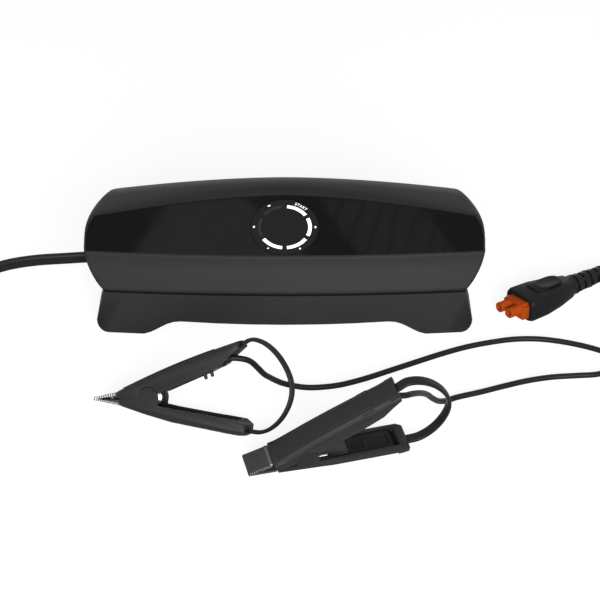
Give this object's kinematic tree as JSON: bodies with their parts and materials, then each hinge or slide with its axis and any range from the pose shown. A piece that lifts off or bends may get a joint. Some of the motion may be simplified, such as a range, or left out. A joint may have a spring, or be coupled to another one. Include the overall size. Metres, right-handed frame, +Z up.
{
  "type": "car battery charger",
  "caption": "Long low battery charger with a gloss panel and a round button, a mains lead, and a lead with a keyed connector and two spring clamps.",
  "frame": {"origin": "on the floor under the middle of the charger and clamps, the free leads left out", "axes": "+Z up, the charger and its panel face -Y, its long side runs along X, +X to the right as seen from the front"},
  "size_m": [0.5658, 0.2416, 0.0685],
  "materials": {
    "housing": "matt dark grey moulded plastic",
    "steel": "bright nickel-plated steel",
    "rubber": "matt black rubber",
    "gloss": "black gloss display panel",
    "button": "satin near-black plastic",
    "lit": "white translucent light guide",
    "unlit": "dark translucent light guide",
    "board": "green circuit board",
    "socket": "black plastic",
    "ferrite": "dark grey ferrite and tape",
    "aluminium": "plain aluminium",
    "sleeve": "dark blue sleeve",
    "clamp": "satin black moulded plastic",
    "cord": "satin black cord sheath",
    "brass": "nickel brass",
    "orange": "orange plastic"
  },
  "bodies": {
    "charger_and_leads": {"base_tray": "housing", "upper_housing": "housing", "housing_screw_1": "steel", "housing_screw_2": "steel", "housing_screw_3": "steel", "housing_screw_4": "steel", "rubber_pad_1": "rubber", "rubber_pad_2": "rubber", "rubber_pad_3": "rubber", "rubber_pad_4": "rubber", "gloss_panel": "gloss", "display_board": "board", "button_switch": "socket", "main_board": "board", "transformer": "ferrite", "heat_sink": "aluminium", "smoothing_capacitor": "sleeve", "output_choke": "ferrite", "output_socket": "socket", "lead_grommet": "rubber", "clamp_1_lower_arm": "clamp", "clamp_1_lower_jaw": "steel", "clamp_1_pivot_pin": "steel", "clamp_1_spring": "steel", "clamp_1_conductor_cover": "socket", "clamp_1_jumper": "cord", "clamp_2_lower_arm": "clamp", "clamp_2_lower_jaw": "steel", "clamp_2_pivot_pin": "steel", "clamp_2_spring": "steel", "clamp_2_conductor_cover": "socket", "clamp_2_jumper": "cord", "mains_lead_run": "cord", "mains_lead_coil": "cord", "mains_lead_tail": "cord", "mains_plug_pin_1": "brass", "mains_plug_pin_2": "brass", "mains_plug": "rubber", "clamp_1_wire": "cord", "clamp_2_wire": "cord", "lead_junction": "rubber", "connector_shell": "clamp", "connector_insert": "orange", "connector_boot": "rubber", "connector_lead": "cord"},
    "start_button": {"start_button": "button", "ring_light_1": "lit", "ring_light_2": "lit", "ring_light_3": "lit", "ring_light_4": "lit", "ring_light_5": "unlit", "ring_light_6": "unlit"},
    "clamp_1_upper": {"clamp_1_upper_arm": "clamp", "clamp_1_upper_jaw": "steel"},
    "clamp_2_upper": {"clamp_2_upper_arm": "clamp", "clamp_2_upper_jaw": "steel"}
  },
  "joints": [
    {"name": "start_button_press", "type": "slide", "parent": "charger_and_leads", "child": "start_button", "axis": [0, 0.4384, -0.8988], "range_m": [0, 0.0006], "stiffness_N_per_m": 2500, "springref_m": -0.0004},
    {"name": "clamp_1_hinge", "type": "hinge", "parent": "charger_and_leads", "child": "clamp_1_upper", "pos_m": [-0.07121, -0.05807, 0.01188], "axis": [0.3074, 0.8446, -0.4384], "range_deg": [0, 26], "stiffness_Nm_per_rad": 0.6, "springref_deg": -28.65, "deforming": ["clamp_1_spring", "clamp_1_jumper", "clamp_1_wire"]},
    {"name": "clamp_2_hinge", "type": "hinge", "parent": "charger_and_leads", "child": "clamp_2_upper", "pos_m": [0.01146, -0.1069, 0.0115], "axis": [-0.2812, 0.9085, 0.309], "range_deg": [0, 26], "stiffness_Nm_per_rad": 0.6, "springref_deg": -28.65, "deforming": ["clamp_2_spring", "clamp_2_jumper", "clamp_2_wire"]}
  ]
}
